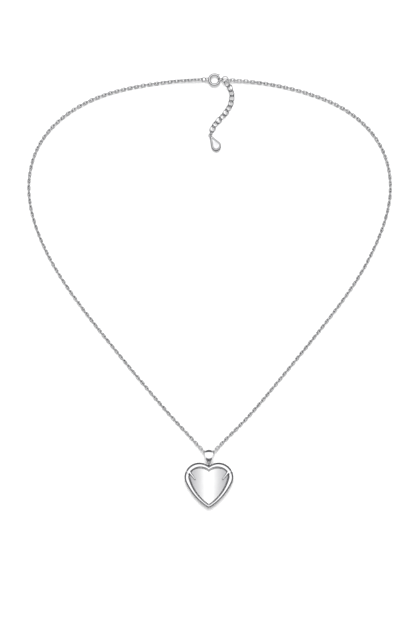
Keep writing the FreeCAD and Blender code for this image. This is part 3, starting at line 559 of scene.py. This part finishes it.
# ------------------------------------------------------------------ cable chain
# Oval links of drawn wire, each soldered shut and turned a quarter from the last, then tumbled
# bright. Ten stretches a side, and three links that run through the bail.
LINK_BEND = 0.5
LINK_WIRE = 0.4
LINK_RUN = 0.4
BEND_SEGMENTS = 12
unselect()
bpy.ops.mesh.primitive_torus_add(major_segments=BEND_SEGMENTS, minor_segments=6, major_radius=LINK_BEND * mm,
                                 minor_radius=LINK_WIRE / 2 * mm,
                                 rotation=(0, 0, math.pi / BEND_SEGMENTS))
link = bpy.context.object
bpy.ops.object.transform_apply(location=True, rotation=True, scale=True)
for way in (-1, 1):
    bpy.ops.object.mode_set(mode="EDIT")
    bpy.ops.mesh.select_all(action="DESELECT")
    mesh = bmesh.from_edit_mesh(link.data)
    for vert in mesh.verts:
        vert.select = vert.co.x * way > 0
    mesh.select_flush(True)
    bmesh.update_edit_mesh(link.data)
    bpy.ops.transform.translate(value=(way * LINK_RUN * mm, 0, 0))
    bpy.ops.object.mode_set(mode="OBJECT")

# Tumbled silver wire: as white as the pendant, but with a softer gloss.
chain_wire = silver(
    "tumbled_silver_wire", colour=("#F0F0F2", "#FAFAFA"), rough=(0.12, 0.2),
    wear_size=1.5, scratch_size=0.1, scratch_depth=0.015,
)
points_per_link = len(node_points("chain_middle")) // 3
for node in sorted(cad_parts):
    if not node.startswith("chain_"):
        continue
    links = []
    for points in node_points(node).reshape(-1, points_per_link, 3):
        copy = link.copy()
        copy.data = link.data.copy()
        copy.data.transform(principal(points))
        bpy.context.scene.collection.objects.link(copy)
        links.append(copy)
    unselect()
    for copy in links:
        copy.select_set(True)
    bpy.context.view_layer.objects.active = links[0]
    bpy.ops.object.join()
    strand = bpy.context.object
    strand.name = node + "_links"
    repaint(strand, chain_wire)
    finished(strand, 180.0)
    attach(strand, node)
    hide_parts(node)
bpy.data.objects.remove(link)


# ------------------------------------------------------------------ spring-ring clasp
# A bent tube with a gap at the right, closed by a sliding bolt with a thumb tab. A fine spring in
# the tube pushes the bolt shut. A wire eye on the left takes the ring at the chain's end.
# Barrel-polished silver: bright and even, a shade greyer than the pendant.
clasp_silver = silver(
    "polished_silver_findings", colour=("#DEDEE0", "#EEEEEF"), rough=(0.08, 0.14),
    wear_size=2.0, scratch_size=0.1, scratch_depth=0.01,
)
# Bare spring wire: darker, with the dull gloss that drawing leaves.
spring_steel = silver(
    "drawn_spring_steel_wire", colour=("#8E8E92", "#A4A4A8"), rough=(0.25, 0.35),
    wear_size=0.5, scratch_size=0.05, scratch_depth=0.02,
)
smooth_copy("clasp_tube", clasp_silver, "clasp", 45.0)
smooth_copy("clasp_bolt", clasp_silver, "clasp_bolt", 45.0)
smooth_copy("clasp_loop", clasp_silver, "clasp", 45.0)
repaint(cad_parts["clasp_spring"], spring_steel)
wire_ring("clasp_jump_ring_finished", "clasp_jump_ring", radius=0.975, wire=0.35, material=clasp_silver,
          body="clasp_jump_ring")


# ------------------------------------------------------------------ catch rings
# The ring that the clasp closes on, soldered to the other end of the chain, and the small upright
# ring between it and the clasp's bolt.
wire_ring("catch_ring_finished", "catch_ring", radius=1.225, wire=0.45, material=clasp_silver,
          body="catch_ring", joint_at=60.0)
wire_ring("catch_link_finished", "catch_link", radius=0.98, wire=0.36, material=clasp_silver,
          body="catch_link")


# ------------------------------------------------------------------ extender chain
# Eleven round rings, each leaning the other way from the last, so that the necklace can be
# fastened longer. Each is bent from round wire and soldered.
EXTENDER_RINGS = 11
# Polished round wire: white silver with a close, even gloss.
ring_silver = silver(
    "polished_silver_ring_wire", colour=("#EEEEF0", "#FAFAFA"), rough=(0.10, 0.18),
    wear_size=2.0, scratch_size=0.1, scratch_depth=0.012,
)
for number in range(1, EXTENDER_RINGS + 1):
    node = f"extender_{number:02d}"
    wire_ring(node + "_ring", node, radius=1.31, wire=0.42, material=ring_silver,
              body=node)


# ------------------------------------------------------------------ tag
# A puffed drop at the extender's end, pressed from two thin shells soldered edge to edge, with a
# wire eye at its tip that hangs on the last small ring.
wire_ring("tag_ring_finished", "tag_ring", radius=0.8, wire=0.3, material=clasp_silver,
          body="tag_ring")
TAG_R = 1.95
TAG_TIP_R = 0.62
TAG_LONG = 6.2
TAG_DEEP = 1.6
TAG_FROM = 0.6
LEAST_R = 0.05
eye_middle = sum((Vector(corner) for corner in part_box("tag_eye")), Vector()) / 2
tag_middle = sum((Vector(corner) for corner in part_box("tag")), Vector()) / 2
tag_way = (tag_middle - eye_middle).xy.normalized()


def drop(inset, level, steps=20):
    """The drop's outline, so far inside its edge and at this height above its middle."""
    apart = TAG_LONG - TAG_R - TAG_TIP_R
    lean = math.asin((TAG_R - TAG_TIP_R) / apart)
    tip_r = max(TAG_TIP_R - inset, LEAST_R)
    tip_at = TAG_FROM + TAG_TIP_R + max(inset + LEAST_R - TAG_TIP_R, 0) / math.sin(lean)
    ends = [(tip_at, tip_r, math.pi / 2 + lean, 3 * math.pi / 2 - lean),
            (TAG_FROM + TAG_TIP_R + apart, TAG_R - inset, -math.pi / 2 - lean, math.pi / 2 + lean)]
    ring = []
    for at, radius, start, end in ends:
        for step in range(steps):
            angle = start + (end - start) * step / (steps - 1)
            along, aside = at + radius * math.cos(angle), radius * math.sin(angle)
            flat = tag_way * along + Vector((-tag_way.y, tag_way.x)) * aside
            place = Vector((flat.x, flat.y, level))
            ring.append(place + Vector((eye_middle.x / mm, eye_middle.y / mm, tag_middle.z / mm)))
    return ring


# (inset, share of half the depth): a rounded outer edge, then a groove and a low puffed middle.
half_edge = [(0.0, 0.2), (0.03, 0.6), (0.16, 0.88), (0.36, 1.0)]
face = [(0.52, 0.94), (0.66, 0.8), (0.8, 0.72), (1.0, 0.78), (1.3, 0.9), (1.6, 0.97)]
front = half_edge + face
sides = [(inset, -share) for inset, share in reversed(front)] + front
tag = drawn_through("drop_tag", [drop(inset, share * TAG_DEEP / 2) for inset, share in sides], "caps")
repaint(tag, clasp_silver)
finished(tag, 60.0)
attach(tag, "tag")
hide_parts("tag")
smooth_copy("tag_eye", clasp_silver, "tag", 50.0)
